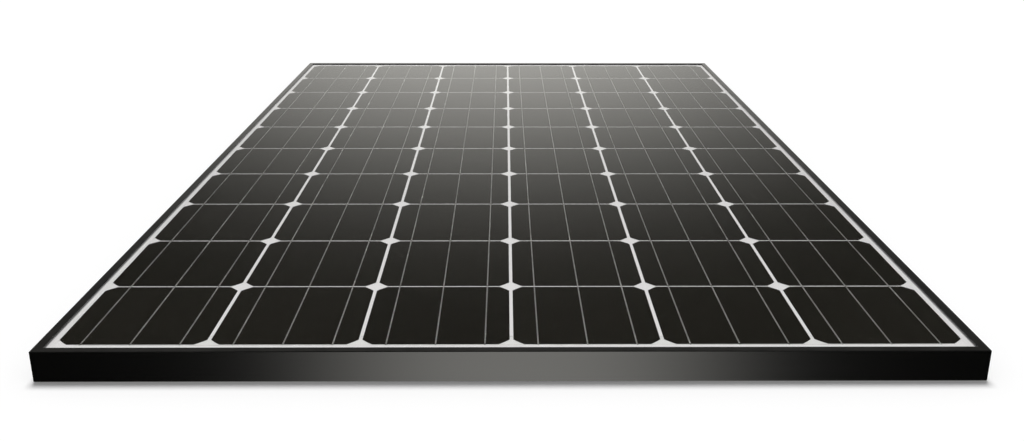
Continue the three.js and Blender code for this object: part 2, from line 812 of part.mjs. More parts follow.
// A knuckle is open at the top, so it snaps over its peg, and an arm joins it to the lid's edge
function lidKnuckle(side) {
  const [outerHalf, boreHalf] = [knuckleOuter, knuckleBore].map((r) => Math.asin(halfOf(knuckleMouth) / r));
  const [armLow, armHigh] = rootHeights.map((z) => Math.PI - Math.asin((z - hingeZ) / knuckleOuter));
  const mouthTurn = 2 * Math.PI + quarterTurn;
  const root = rearFace - boxWall;
  const outline = [
    ...arc(knuckleOuter, hinge, quarterTurn + outerHalf, armHigh, halfOf(hingeSteps)),
    point(root, rootHeights[1]),
    point(root, rootHeights[0]),
    ...arc(knuckleOuter, hinge, armLow, mouthTurn - outerHalf, hingeSteps),
    ...arc(knuckleBore, hinge, mouthTurn - boreHalf, quarterTurn + boreHalf, hingeSteps),
  ];
  return runAlongX(outline, about(side * pegPlace, pegLength - 2 * hingeSideGap));
}

function lidHook(side) {
  const face = frontFace - catchDepth - fitGap;
  const tip = rim + hookRise;
  const profile = [
    point(face - hookThickness, rootHeights[0]),
    point(frontFace + boxWall, rootHeights[0]),
    point(frontFace + boxWall, rootHeights[1]),
    point(face, rootHeights[1]),
    point(face, tip - hookBarbHeight),
    point(face + hookBarb, tip - hookBarbHeight),
    point(face, tip),
    point(face - hookThickness, tip),
  ];
  return runAlongX(profile, about(side * hookPlace, hookWidth));
}

function boxLid() {
  const plugWidth = innerWidth - 2 * fitGap;
  const plugDepth = innerDepth - 2 * fitGap;
  const plugRadius = boxCornerRadius - boxWall;
  const plug = roundedRectangle(plugWidth, plugDepth, plugRadius);
  const hollowSize = [plugWidth - 2 * spigotThickness, plugDepth - 2 * spigotThickness];
  const hollow = roundedRectangle(...hollowSize, plugRadius - fitGap);
  const plugTop = rim + spigotHeight;
  let made = prism(roundedRectangle(boxWidth, boxDepth, boxCornerRadius), [lidBottom, lidTop]);
  made = made.add(prism(plug, [lidMiddle, plugTop])).subtract(prism(hollow, [lidTop, plugTop + overrun]));
  for (let rib = 0; rib < lidRibs; rib += 1) {
    const x = (rib - halfOf(lidRibs - 1)) * lidRibPitch;
    const raised = [lidBottom - lidRibHeight, lidMiddle];
    made = made.add(block(about(x, lidRibWidth), about(0, boxDepth - 2 * lidRibSetBack), raised));
  }
  [-1, 1].forEach((side) => {
    made = made.add(lidHook(side)).add(lidKnuckle(side));
  });
  return made;
}
box.add(part("junction_box_lid", boxLid(), blackPlastic));

// Lid seal: a rubber ring on the lid, round its plug, that the rim presses on
function lidSeal() {
  const inside = [innerWidth + fitGap, innerDepth + fitGap];
  const outside = inside.map((size) => size + 2 * lidSealWidth);
  const radius = boxCornerRadius - boxWall;
  const hole = roundedRectangle(...inside, radius);
  return prism(roundedRectangle(...outside, radius + lidSealWidth), [lidTop, rim], [hole]);
}
box.add(part("junction_box_lid_seal", lidSeal(), blackRubber));

// Terminals: tinned plates on the seats, each with a clip that holds the lead's end on it
const plateTop = floorBottom - seatHeight;
const plateBottom = plateTop - terminalThickness;

function terminalPlate() {
  const plate = block(about(0, terminalWidth), [terminalFront, terminalRear], [plateBottom, plateTop]);
  const hole = ring(postDiameter + 2 * fitGap, postSteps, point(0, alongTerminal(postShare)));
  return plate.subtract(prism(hole, [plateBottom - overrun, plateTop + overrun]));
}

function ribbonClip() {
  const reach = halfOf(terminalWidth) + clipGap;
  const bottom = plateBottom - busThickness;
  const legEnd = -halfOf(busWidth);
  const profile = [
    point(bottom - clipThickness, reach + clipThickness),
    point(bottom - clipThickness, legEnd),
    point(bottom, legEnd),
    point(bottom, reach),
    point(plateTop, reach),
    point(plateTop, legEnd),
    point(plateTop + clipThickness, legEnd),
    point(plateTop + clipThickness, reach + clipThickness),
  ];
  return runAlongY(profile, clipShares.map(alongTerminal));
}

for (let terminal = 0; terminal < terminals; terminal += 1) {
  const plate = part(`terminal_${terminal + 1}`, terminalPlate(), tinnedCopper);
  plate.position.x = leadX(terminal);
  box.add(plate);
  const clip = part(`ribbon_clip_${terminal + 1}`, ribbonClip(), springSteel);
  clip.position.x = leadX(terminal);
  box.add(clip);
}

// Bypass diodes: axial diodes soldered between neighbouring terminals
function bypassDiode() {
  const reach = halfOf(terminalPitch - diodeLeadGap);
  const bodySpan = about(0, diodeBodyShare * terminalPitch);
  const body = runAlongX(ring(diodeBodyDiameter, diodeSteps), bodySpan);
  return body.add(runAlongX(ring(diodeLeadDiameter, diodeSteps), [-reach, reach]));
}

for (let diode = 0; diode < terminals - 1; diode += 1) {
  const mesh = part(`bypass_diode_${diode + 1}`, bypassDiode(), blackPlastic);
  const z = plateBottom - halfOf(diodeLeadDiameter);
  mesh.position.set(leadX(diode) + halfOf(terminalPitch), alongTerminal(diodeShare), z);
  box.add(mesh);
}

// Cable glands: a domed hexagon nut on each stub, with a rubber seal inside that grips the lead
const threadBore = stubDiameter + 2 * fitGap;
const sealEnd = stubEnd - fitGap - glandSealLength;
const hexEnd = sealEnd - fitGap;

function glandNut() {
  const end = hexEnd - nutDomeLength;
  const hexCorners = (threadBore + 2 * nutWall) / Math.cos(Math.PI / hexSides);
  const hex = runAlongY(ring(hexCorners, hexSides, point(0, 0), Math.PI / hexSides), [hexEnd, nutStart]);
  const wide = halfOf(threadBore) + nutDomeWall;
  const lowest = point(wide - nutDomeRadius, end + nutDomeRadius);
  const core = halfOf(stubBore) - overrun;
  const dome = revolved([
    point(core, end),
    ...arc(nutDomeRadius, lowest, -quarterTurn, 0, nutDomeSteps),
    point(wide, hexEnd + overrun),
    point(core, hexEnd + overrun),
  ]);
  const bore = runAlongY(ring(threadBore, glandSteps), [sealEnd, nutStart + overrun]);
  const mouth = runAlongY(ring(stubBore, glandSteps), [end - overrun, sealEnd + overrun]);
  return hex.add(dome).subtract(bore).subtract(mouth);
}

function glandSeal() {
  const span = [sealEnd, stubEnd - fitGap];
  const hole = [span[0] - overrun, span[1] + overrun];
  const outer = runAlongY(ring(threadBore - 2 * fitGap, glandSteps), span);
  return outer.subtract(runAlongY(ring(glandSealBore, glandSteps), hole));
}

[
  ["left", -1],
  ["right", 1],
].forEach(([name, side]) => {
  const nut = part(`cable_gland_nut_${name}`, glandNut(), blackPlastic);
  nut.position.set(side * glandPlace, 0, stubZ);
  box.add(nut);
  const seal = part(`cable_gland_seal_${name}`, glandSeal(), blackRubber);
  seal.position.set(side * glandPlace, 0, stubZ);
  box.add(seal);
});

export default panel;
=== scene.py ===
import math

import bpy
import numpy as np
from mathutils import Matrix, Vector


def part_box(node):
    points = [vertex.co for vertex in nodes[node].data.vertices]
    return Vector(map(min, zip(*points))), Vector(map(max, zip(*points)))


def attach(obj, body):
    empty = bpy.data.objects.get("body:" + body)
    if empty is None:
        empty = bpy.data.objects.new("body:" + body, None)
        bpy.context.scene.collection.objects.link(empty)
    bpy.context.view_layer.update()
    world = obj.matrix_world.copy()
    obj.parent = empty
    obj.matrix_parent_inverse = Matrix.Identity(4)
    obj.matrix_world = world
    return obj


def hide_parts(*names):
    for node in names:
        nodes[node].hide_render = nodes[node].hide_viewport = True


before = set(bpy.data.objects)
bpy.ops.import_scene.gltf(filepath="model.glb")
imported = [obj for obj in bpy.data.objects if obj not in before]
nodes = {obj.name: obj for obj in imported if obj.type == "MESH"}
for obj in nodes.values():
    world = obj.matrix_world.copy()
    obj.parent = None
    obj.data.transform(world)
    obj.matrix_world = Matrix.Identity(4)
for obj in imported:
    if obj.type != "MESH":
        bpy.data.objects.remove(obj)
scene = bpy.context.scene
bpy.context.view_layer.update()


# Camera. It stands half a metre up and a metre before the short front side, almost on the panel's
# centre line, and looks down along the rows of cells.
lens_mm = 36.513
sensor_mm = 36
nearest_seen = 0.02
camera_place = (-0.0069, -1.7781, 0.5091)
tilt_down, turn_right, lean = np.radians([18.9905, 0.41, 0.102])

camera = bpy.data.objects.new("camera", bpy.data.cameras.new("camera"))
camera.data.lens = lens_mm
camera.data.sensor_width = sensor_mm
camera.data.clip_start = nearest_seen
camera.matrix_world = (
    Matrix.Translation(camera_place)
    @ Matrix.Rotation(-turn_right, 4, "Z")
    @ Matrix.Rotation(math.pi / 2 - tilt_down, 4, "X")
    @ Matrix.Rotation(lean, 4, "Z")
)
scene.collection.objects.link(camera)
scene.camera = camera


# Frame rails: four aluminium extrusions, sawn to a mitre at each end, then black anodised. The die
# leaves faint straight lines along each rail, which show only as a slight change of gloss. Stacking
# and carrying have rubbed the underside matt. Faces that look up get a grey that is partly dust and
# partly painted sheen.
anodised_black = (0.0018, 0.0018, 0.0017)
anodised_roughness = (0.15, 0.2)
anodised_specular = 0.5
line_stretch_x, line_stretch_y = (2.5, 1400, 1400), (1400, 2.5, 1400)
line_relief = 0.06
rubbed_roughness = 0.4
# A grey on faces that look up, partly dust and partly painted sheen, how much of it and its patches
dust_and_sheen_grey = (0.42, 0.41, 0.39)
dust_and_sheen_amount = 0.05
patch_scale = 30
patch_share = (0.4, 1.6)

# How far down a face looks where the rubbing starts and where it is full, and how far up where the
# grey of dust and painted sheen starts: 1 is straight up and -1 straight down
rubbed_start, rubbed_full = -0.7, -0.95
dust_and_sheen_start = 0.6


def put(tree, kind, inputs=(), **settings):
    """Adds a node of this kind, sets its settings, and gives each input a value or a link. A colour is
    given as red, green and blue."""
    made = tree.nodes.new("ShaderNode" + kind)
    for name, value in settings.items():
        setattr(made, name, value)
    for name, value in dict(inputs).items():
        socket = made.inputs[name]
        if isinstance(value, bpy.types.NodeSocket):
            tree.links.new(value, socket)
        else:
            socket.default_value = (*value, 1) if socket.type == "RGBA" else value
    return made


def reckon(tree, operation, *values):
    """One step of arithmetic on numbers and sockets."""
    return put(tree, "Math", dict(enumerate(values)), operation=operation).outputs[0]


def between(tree, value, low, high, start=0, full=1, **kind):
    """Turns a value that runs from start to full into one that runs from low to high."""
    ends = {"Value": value, "From Min": start, "From Max": full, "To Min": low, "To Max": high}
    return put(tree, "MapRange", ends, **kind).outputs[0]


def slope(tree, value, start, full, low=0, high=1):
    """From low where the value is at start to high where it is at full, with a smooth foot and top."""
    return between(tree, value, low, high, start, full, interpolation_type="SMOOTHSTEP")


def mixed(tree, share, first, second):
    """The first colour where the share is 0 and the second where it is 1."""
    colours = {"Factor": share, "A": first, "B": second}
    return put(tree, "Mix", colours, data_type="RGBA").outputs["Result"]


def raised(tree, height, strength, distance=0.0001, **more):
    """Relief from a height of 0 to 1: the distance is its full height in metres, before its strength."""
    return put(
        tree, "Bump", {"Height": height, "Strength": strength, "Distance": distance, **more}
    ).outputs[0]


def group(name, takes, gives):
    """A shader node group with these inputs and outputs: its tree, what it takes and what it gives."""
    tree = bpy.data.node_groups.new(name, "ShaderNodeTree")
    for side, sockets in (("INPUT", takes), ("OUTPUT", gives)):
        for label, kind in sockets.items():
            tree.interface.new_socket(name=label, in_out=side, socket_type="NodeSocket" + kind)
    return tree, tree.nodes.new("NodeGroupInput").outputs, tree.nodes.new("NodeGroupOutput").inputs


def blank(name):
    """A new material, with the tree that its nodes go into and the place of a point on the piece."""
    material = bpy.data.materials.new(name)
    material.use_nodes = True
    tree = material.node_tree
    tree.nodes.clear()
    return material, tree, put(tree, "TexCoord").outputs["Object"]


def finish(material, tree, shader):
    """Connects the shader to the material's surface and hands the material back."""
    put(tree, "OutputMaterial", {"Surface": shader.outputs[0]})
    return material


def coat(material, *names):
    """Gives CAD nodes this material."""
    for name in names:
        for part in nodes[name].material_slots:
            part.material = material


# Straight lines along a part: noise drawn out by a stretch that is small along the part
drawn_lines, taken, given = group(
    "drawn_lines", {"Place": "Vector", "Stretch": "Vector"}, {"Lines": "Float"}
)
drawn_out = put(
    drawn_lines, "VectorMath", {0: taken["Place"], 1: taken["Stretch"]}, operation="MULTIPLY"
)
streaks = put(drawn_lines, "TexNoise", {"Vector": drawn_out.outputs[0], "Scale": 1, "Detail": 3})
drawn_lines.links.new(streaks.outputs["Fac"], given["Lines"])


def lined(tree, place, stretch):
    """Places the drawn lines in a material and gives their mask."""
    lines = put(tree, "Group", {"Place": place, "Stretch": stretch}, node_tree=drawn_lines)
    return lines.outputs["Lines"]


# Dust and painted sheen: a mask that is strongest on faces that look up, uneven over a few
# centimetres. The grey it lays stands partly for dust and partly for a sheen from above.
dust_and_sheen, taken, given = group(
    "dust_and_sheen", {"Place": "Vector", "Normal": "Vector", "Amount": "Float"}, {"DustAndSheen": "Float"}
)
upward = put(dust_and_sheen, "SeparateXYZ", {0: taken["Normal"]}).outputs["Z"]
lying = slope(dust_and_sheen, upward, dust_and_sheen_start, 1)
patch_noise = put(dust_and_sheen, "TexNoise", {"Vector": taken["Place"], "Scale": patch_scale, "Detail": 6})
patchy = between(dust_and_sheen, patch_noise.outputs["Fac"], *patch_share)
spread = reckon(dust_and_sheen, "MULTIPLY", lying, patchy)
dust_and_sheen.links.new(reckon(dust_and_sheen, "MULTIPLY", spread, taken["Amount"]), given["DustAndSheen"])


def anodised(name, stretch):
    """Black anodised aluminium: a near-black satin film whose gloss changes a little from line to line,
    with a grey on top that is partly dust and partly painted sheen, and rubbed rougher where it looks
    down."""
    material, tree, place = blank(name)
    normal = put(tree, "NewGeometry").outputs["Normal"]
    lines = lined(tree, place, stretch)
    facing = put(tree, "SeparateXYZ", {0: normal}).outputs["Z"]
    rubbed = between(tree, facing, 0, rubbed_roughness, rubbed_start, rubbed_full)
    # A grey on faces that look up: partly dust, partly painted sheen
    dust_and_sheen_share = put(
        tree,
        "Group",
        {"Place": place, "Normal": normal, "Amount": dust_and_sheen_amount},
        node_tree=dust_and_sheen,
    )
    surface = put(
        tree,
        "BsdfPrincipled",
        {
            "Base Color": mixed(tree, dust_and_sheen_share.outputs["DustAndSheen"], anodised_black, dust_and_sheen_grey),
            "Roughness": reckon(tree, "ADD", between(tree, lines, *anodised_roughness), rubbed),
            "Specular IOR Level": anodised_specular,
            "Normal": raised(tree, lines, line_relief),
        },
    )
    return finish(material, tree, surface)


coat(anodised("black_anodised_across", line_stretch_x), "frame_rail_front", "frame_rail_rear")
coat(anodised("black_anodised_along", line_stretch_y), "frame_rail_left", "frame_rail_right")


# Corner keys: toothed angles cut from plain extruded aluminium and pressed into the rails' chambers,
# where they hold the mitres shut. They are left bare.
key_metal = (0.74, 0.75, 0.76)
key_roughness = (0.3, 0.45)
key_stretch = (900, 900, 8)
metal_relief = 0.1
corners = ("front_left", "front_right", "rear_right", "rear_left")


def bare_metal(name, colour, stretch, roughness):
    """Bare metal with the straight lines that the die or the rolls leave: the lines change its
    roughness, within a range, and stand up a little."""
    material, tree, place = blank(name)
    lines = lined(tree, place, stretch)
    surface = put(
        tree,
        "BsdfPrincipled",
        {
            "Base Color": colour,
            "Metallic": 1,
            "Roughness": between(tree, lines, *roughness),
            "Normal": raised(tree, lines, metal_relief),
        },
    )
    return finish(material, tree, surface)


coat(
    bare_metal("plain_aluminium", key_metal, key_stretch, key_roughness),
    *(f"corner_key_{corner}" for corner in corners),
)


# Edge seal: a U-shaped rubber strip pushed over the laminate's edge before the rails close on it.
# Matt black, with the soft mottling of extruded rubber.
fine_times = 6
roughness_spread = 0.05

mottle, taken, given = group(
    "mottle", {"Place": "Vector", "Scale": "Float"}, {"Tone": "Float", "Height": "Float"}
)
broad = put(mottle, "TexNoise", {"Vector": taken["Place"], "Scale": taken["Scale"], "Detail": 4})
fine_scale = reckon(mottle, "MULTIPLY", taken["Scale"], fine_times)
fine = put(mottle, "TexNoise", {"Vector": taken["Place"], "Scale": fine_scale, "Detail": 2})
mottle.links.new(broad.outputs["Fac"], given["Tone"])
mottle.links.new(fine.outputs["Fac"], given["Height"])


def mottled(tree, place, scale):
    """Places the mottle in a material and gives its tone and its height."""
    spots = put(tree, "Group", {"Place": place, "Scale": scale}, node_tree=mottle).outputs
    return spots["Tone"], spots["Height"]


def grey(level):
    """A colour without a hue."""
    return (level, level, level)


def matt(name, dark, light, scale, roughness, grain, distance=0.0001, specular=0.4):
    """A matt, softly mottled material: colour from dark to light, fine grain as relief."""
    material, tree, place = blank(name)
    tone, height = mottled(tree, place, scale)
    smoothest, roughest = roughness - roughness_spread, roughness + roughness_spread
    surface = put(
        tree,
        "BsdfPrincipled",
        {
            "Base Color": mixed(tree, tone, dark, light),
            "Roughness": between(tree, tone, smoothest, roughest),
            "Specular IOR Level": specular,
            "Normal": raised(tree, height, grain, distance),
        },
    )
    return finish(material, tree, surface)


coat(
    matt("edge_rubber", grey(0.018), grey(0.028), scale=350, roughness=0.75, grain=0.3),
    "edge_seal",
)


# Front glass: one sheet of clear toughened glass, 3.2 mm thick, bonded to the layers below. Light
# bends only at its top face, because the layers under it bend light as much as the glass does.
glass_index = 1.5
glass_roughness = 0.02
skin_depth = 0.0001
ripple_scale, ripple_height, ripple_strength = 3, 0.0004, 0.1
clear_white = (1, 1, 1)


def to_light(tree):
    """1 on the way from a lit surface to the light and 0 elsewhere. There the glass lets light straight
    through, so that the white below it is as bright as its colour says."""
    path = put(tree, "LightPath").outputs
    return reckon(tree, "MAXIMUM", path["Is Shadow Ray"], path["Is Diffuse Ray"])


def opened(tree, share, surface):
    """The surface where the share is 0, and nothing but a clear view where it is 1."""
    clear = put(tree, "BsdfTransparent").outputs[0]
    return put(tree, "MixShader", {0: share, 1: surface.outputs[0], 2: clear})


solar_glass, tree, place = blank("solar_glass")
glass_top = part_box("front_glass")[1].z
height = put(tree, "SeparateXYZ", {0: place}).outputs["Z"]
below_top = reckon(tree, "LESS_THAN", height, glass_top - skin_depth)
ripple = put(tree, "TexNoise", {"Vector": place, "Scale": ripple_scale, "Detail": 1})
glass_surface = put(
    tree,
    "BsdfPrincipled",
    {
        "Base Color": clear_white,
        "Roughness": glass_roughness,
        "IOR": glass_index,
        "Transmission Weight": 1,
        "Normal": raised(tree, ripple.outputs["Fac"], ripple_strength, ripple_height),
    },
)
open_way = reckon(tree, "MAXIMUM", below_top, to_light(tree))
coat(finish(solar_glass, tree, opened(tree, open_way, glass_surface)), "front_glass")


# Front film: the clear layer that melts in the press and bonds the glass to the cells. It is made
# a hair thinner than its room, so that no face of it lies in a face of its neighbours.
film_gap = 0.00002
film_edge = 0.0005
film_haze = 0.001
sharp_edge = math.radians(35)


def mesh_piece(name, points, faces, material, slot):
    """Makes a piece from an array of points and lists of corners, one list for each face. Faces that
    meet at less than the sharp edge's angle are shaded as one surface."""
    mesh = bpy.data.meshes.new(name)
    mesh.from_pydata(points.reshape(-1, 3).tolist(), [], [list(face) for face in faces])
    mesh.update()
    mesh.materials.append(material)
    mesh.shade_smooth()
    mesh.set_sharp_from_angle(angle=sharp_edge)
    made = bpy.data.objects.new(name, mesh)
    scene.collection.objects.link(made)
    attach(made, "panel")
    return made


def boxes(low, high):
    """Closed boxes between their low and high corners, which are x, y and z, each a number or an array
    with a value for each box. A box's corner k takes x, y and z from low or high by k's bits 1, 2 and
    4. Faces point outwards."""
    low, high = (np.stack(np.broadcast_arrays(*corner), -1).reshape(-1, 1, 3) for corner in (low, high))
    pick = np.array([[k & 1, k >> 1 & 1, k >> 2] for k in range(8)], bool)
    sides = [[0, 2, 3, 1], [4, 5, 7, 6], [0, 1, 5, 4], [2, 6, 7, 3], [0, 4, 6, 2], [1, 3, 7, 5]]
    faces = np.array(sides) + 8 * np.arange(len(low))[:, None, None]
    return np.where(pick, high, low), faces.reshape(-1, 4)


clear_film, tree, place = blank("clear_film")
film_tone, _ = mottled(tree, place, scale=20)
film_surface = put(
    tree,
    "BsdfPrincipled",
    {
        "Base Color": clear_white,
        "Roughness": between(tree, film_tone, 0, film_haze),
        "IOR": 1,
        "Transmission Weight": 1,
    },
)
film_low, film_high = map(np.array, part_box("front_encapsulant"))
film_clearance = np.array([film_edge, film_edge, film_gap])
film = mesh_piece(
    "front_film",
    *boxes(film_low + film_clearance, film_high - film_clearance),
    finish(clear_film, tree, opened(tree, to_light(tree), film_surface)),
    "clear_encapsulant",
)
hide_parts("front_encapsulant")


# Cells: sixty pseudo-square wafers of single-crystal silicon, 156 mm wide, sawn from a round ingot
# of 205 mm, which leaves an arc at each corner. Acid and a nitride coat make them nearly black, and
# each has its own slight tint.
cell = 0.156
ingot_radius = 0.1025
arc_points = 7
strings, rows = 6, 10
string_pitch, row_pitch = 0.160, 0.158
wafer_bottom, wafer_top = 0.0287, 0.0289
silicon_dark, silicon_light = (0.0085, 0.0076, 0.0054), (0.0115, 0.0103, 0.0075)
silicon_roughness = (0.5, 0.6)
silicon_specular = 0.05
grain_share = 0.3

half = cell / 2
string_x = (np.arange(strings) - (strings - 1) / 2) * string_pitch
row_y = (np.arange(rows) - (rows - 1) / 2) * row_pitch

silicon, tree, place = blank("silicon")
in_pitches = put(
    tree, "VectorMath", {0: place, 1: (1 / string_pitch, 1 / row_pitch, 0)}, operation="MULTIPLY"
)
from_corner = put(
    tree, "VectorMath", {0: in_pitches.outputs[0], 1: (strings / 2, rows / 2, 0)}, operation="ADD"
)
which_cell = put(tree, "VectorMath", {0: from_corner.outputs[0]}, operation="FLOOR")
tint = put(tree, "TexWhiteNoise", {"Vector": which_cell.outputs[0]}, noise_dimensions="2D")
tint_part = reckon(tree, "MULTIPLY", tint.outputs["Value"], 1 - grain_share)
grain, _ = mottled(tree, place, scale=14)
tone = reckon(tree, "MULTIPLY_ADD", grain, grain_share, tint_part)
cell_surface = put(
    tree,
    "BsdfPrincipled",
    {
        "Base Color": mixed(tree, tone, silicon_dark, silicon_light),
        "Roughness": between(tree, grain, *silicon_roughness),
        "Specular IOR Level": silicon_specular,
    },
)
finish(silicon, tree, cell_surface)


def grid_faces(rows, columns, join_rows=False, join_columns=False):
    """Quads between the neighbours of a grid of points, numbered row by row: the point itself, the next
    in its row, the next in the row below, and the one below. A joined side runs on to its start."""
    row = np.arange(rows if join_rows else rows - 1)[:, None]
    column = np.arange(columns if join_columns else columns - 1)
    below, beside = (row + 1) % rows, (column + 1) % columns
    corners = ((row, column), (row, beside), (below, beside), (below, column))
    return np.stack([down * columns + along for down, along in corners], -1).reshape(-1, 4)


def tube_faces(places, around):
    """Faces of a closed tube whose rings of points turn anticlockwise about the way it runs: the sides
    between its rings, and a flat cap at each end."""
    ring = np.arange(around)
    sides = grid_faces(places, around, join_columns=True).tolist()
    return [*sides, ring[::-1].tolist(), (ring + (places - 1) * around).tolist()]


def joined(shapes):
    """Points and faces of several shapes as one: each shape's faces are moved on past the points of the
    shapes before it."""
    points, faces, start = [], [], 0
    for shape_points, shape_faces in shapes:
        points.append(shape_points)
        faces += [[start + corner for corner in face] for face in shape_faces]
        start += len(shape_points)
    return np.concatenate(points), faces


# Wafer's outline: four arcs about the cell's middle, each from one straight side to the next
first_angle = math.acos(half / ingot_radius)
arc = np.linspace(first_angle, math.pi / 2 - first_angle, arc_points)
turn = (arc + np.arange(4)[:, None] * math.pi / 2).ravel()
outline = ingot_radius * np.stack([np.cos(turn), np.sin(turn)], -1)
around = len(outline)


def wafers(x):
    """Ten closed wafers at x: the outline at the bottom height and again at the top height of each row."""
    points = np.empty((rows, 2, around, 3))
    points[..., 0] = outline[:, 0] + x
    points[..., 1] = outline[:, 1] + row_y[:, None, None]
    points[..., 2] = np.array([wafer_bottom, wafer_top])[:, None]
    return joined([(wafer.reshape(-1, 3), tube_faces(2, around)) for wafer in points])


for number, x in enumerate(string_x, 1):
    string = mesh_piece(f"wafers_{number}", *wafers(x), silicon, "silicon")
    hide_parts(f"cell_string_{number}")


# Fingers: fine lines of fired silver paste, printed across each wafer every two millimetres to
# gather its current. They stand a little above the silicon and end short of its edge.
finger_pitch = 0.002
finger_width = 0.00008
finger_height = 0.00002
finger_margin = 0.0015
finger_sink = 0.00001
finger_bottom, finger_top = wafer_top - finger_sink, wafer_top + finger_height

silver_paste = matt(
    "silver_paste",
    (0.07, 0.07, 0.062),
    (0.1, 0.1, 0.09),
    scale=60,
    roughness=0.6,
    grain=0.1,
    specular=0.1,
)

finger_y = np.arange(-half + finger_margin + finger_pitch / 2, half - finger_margin, finger_pitch)
finger_reach = np.minimum(half, np.sqrt(ingot_radius**2 - finger_y**2)) - finger_margin
finger_rows = row_y[:, None] + finger_y
finger_low_y, finger_high_y = finger_rows - finger_width / 2, finger_rows + finger_width / 2
for number, x in enumerate(string_x, 1):
    low = [x - finger_reach, finger_low_y, finger_bottom]
    high = [x + finger_reach, finger_high_y, finger_top]
    mesh_piece(f"fingers_{number}", *boxes(low, high), silver_paste, "tinned_metal")


# Ribbons: tinned copper strips, three to a cell. Each is soldered along the front of one cell, dips
# through the gap and is soldered under the next. Neighbouring strings run opposite ways, and the
# last ribbons turn down to the bus ribbons behind the end cells.
ribbon_x = np.array([-0.052, 0, 0.052])
ribbon_width, ribbon_thickness = 0.0015, 0.0002
ribbon_round = 0.35
ribbon_set_back = 0.0015
ribbon_overhang = 0.001625
ribbon_down = 0.0283
bend_radius = 0.0002
section_points = 12
dip_points = 7
bend_points = 5
front_level = wafer_top + ribbon_thickness / 2
rear_level = wafer_bottom - ribbon_thickness / 2
gap = row_pitch - cell
solder_roughness = (0.3, 0.5)
solder_grain = 0.2

# A point this far before each bend keeps the long straight stretch level when it is shaded
bend_lead = 0.0005


def solder_coated(name, dark, light):
    """Copper with a coat of solder: a soft grey metal, a little uneven in tone and gloss."""
    material, tree, place = blank(name)
    tone, height = mottled(tree, place, scale=120)
    surface = put(
        tree,
        "BsdfPrincipled",
        {
            "Base Color": mixed(tree, tone, dark, light),
            "Metallic": 1,
            "Roughness": between(tree, tone, *solder_roughness),
            "Normal": raised(tree, height, solder_grain),
        },
    )
    return finish(material, tree, surface)


def flat_section(width, thickness):
    """A strip's section, flat with rounded edges: a superellipse, which is a cosine across and a sine
    up, each to a small power with its sign kept. It turns anticlockwise about the way that the strip
    runs."""
    turn = np.linspace(0, 2 * math.pi, section_points, endpoint=False) + math.pi / section_points
    cosine, sine = -np.cos(turn), np.sin(turn)
    across = np.sign(cosine) * np.abs(cosine) ** ribbon_round * width / 2
    up = np.sign(sine) * np.abs(sine) ** ribbon_round * thickness / 2
    return np.stack([across, up], -1)


def strip_along(path, section):
    """Carries a section along a path in y and z: each section stands square to the path's direction,
    which is its gradient, with its first axis along x. Gives points and faces."""
    ahead = np.gradient(path, axis=0)
    ahead /= np.linalg.norm(ahead, axis=1, keepdims=True)
    square = np.stack([-ahead[:, 1], ahead[:, 0]], -1)
    y_z = path[:, None] + section[:, 1:] * square[:, None]
    across = np.broadcast_to(section[:, :1], (*y_z.shape[:2], 1))
    return np.concatenate([across, y_z], -1).reshape(-1, 3), tube_faces(len(path), len(section))


def turned_down(start, level, end):
    """A path along y from start to end that turns down there in a quarter circle to the bus."""
    way = math.copysign(1, end - start)
    bend = np.linspace(0, math.pi / 2, bend_points)
    bend_y = end - way * bend_radius * (1 - np.sin(bend))
    bend_z = level - bend_radius * (1 - np.cos(bend))
    y = [start, bend_y[0] - way * bend_lead, *bend_y, end]
    return np.stack([y, [level, level, *bend_z, ribbon_down]], -1)


# One link, from its start on a cell to its end under the next. The dip's height follows a smooth
# step over the gap: three times the share's square, less twice its cube.
over_gap = np.linspace(0, 1, dip_points)
dip_y = half + gap * over_gap
dip_z = front_level + (rear_level - front_level) * over_gap**2 * (3 - 2 * over_gap)
link_y = [-half + ribbon_set_back, half - bend_lead, *dip_y, dip_y[-1] + bend_lead]
link_z = [front_level, front_level, *dip_z, rear_level]
link = np.stack([[*link_y, row_pitch + half - ribbon_set_back], [*link_z, rear_level]], -1)

first_edge, last_edge = row_y[0] - half, row_y[-1] + half
first_tail = turned_down(first_edge + cell - ribbon_set_back, rear_level, first_edge - ribbon_overhang)
last_tail = turned_down(last_edge - cell + ribbon_set_back, front_level, last_edge + ribbon_overhang)
paths = [*(link + [y, 0] for y in row_y[:-1]), first_tail[::-1], last_tail]
ribbon_section = flat_section(ribbon_width, ribbon_thickness)
ribbon = [strip_along(path, ribbon_section) for path in paths]

soldered = solder_coated("soldered_ribbon", (0.4, 0.4, 0.384), (0.53, 0.53, 0.509))
for number, x in enumerate(string_x, 1):
    way = 1 if number % 2 else -1
    turned = [
        (points * [way, way, 1] + [x + off, 0, 0], faces) for off in ribbon_x for points, faces in ribbon
    ]
    mesh_piece(f"ribbons_{number}", *joined(turned), soldered, "tinned_metal")


# Bus ribbons: wider tinned copper strips behind the end cells, which join the strings in series. The
# rear ones carry leads that go down into the junction box.
tinned = solder_coated("tinned_copper", (0.5, 0.5, 0.48), (0.72, 0.72, 0.7))
coat(tinned, *(f"bus_ribbon_front_{number}" for number in (1, 2, 3)))
coat(tinned, *(f"bus_ribbon_rear_{number}" for number in (1, 2, 3, 4)))


# Insulation strips: white polyester strips, cut from a roll and laid between the backs of the end
# cells and the bus ribbons, so that the two don't touch.
coat(
    matt(
        "white_strip", (0.78, 0.78, 0.76), (0.86, 0.86, 0.84), scale=90, roughness=0.6, grain=0.1
    ),
    "insulation_strip_front",
    "insulation_strip_rear",
)


# Rear encapsulant: the white layer that the cells sink into in the press. It is the white seen
# between the cells and round them. Between the rows it wells up to the wafers' tops, either side of
# each ribbon.
pocket_floor = 0.0285
welled_sink = 0.00005
welled_clear = 0.00002
ribbon_clear = 0.0001

white_layer = matt(
    "white_encapsulant",
    (0.835, 0.825, 0.82),
    (0.865, 0.855, 0.85),
    scale=40,
    roughness=0.6,
    grain=0.05,
    specular=0.2,
)
coat(white_layer, "rear_encapsulant")

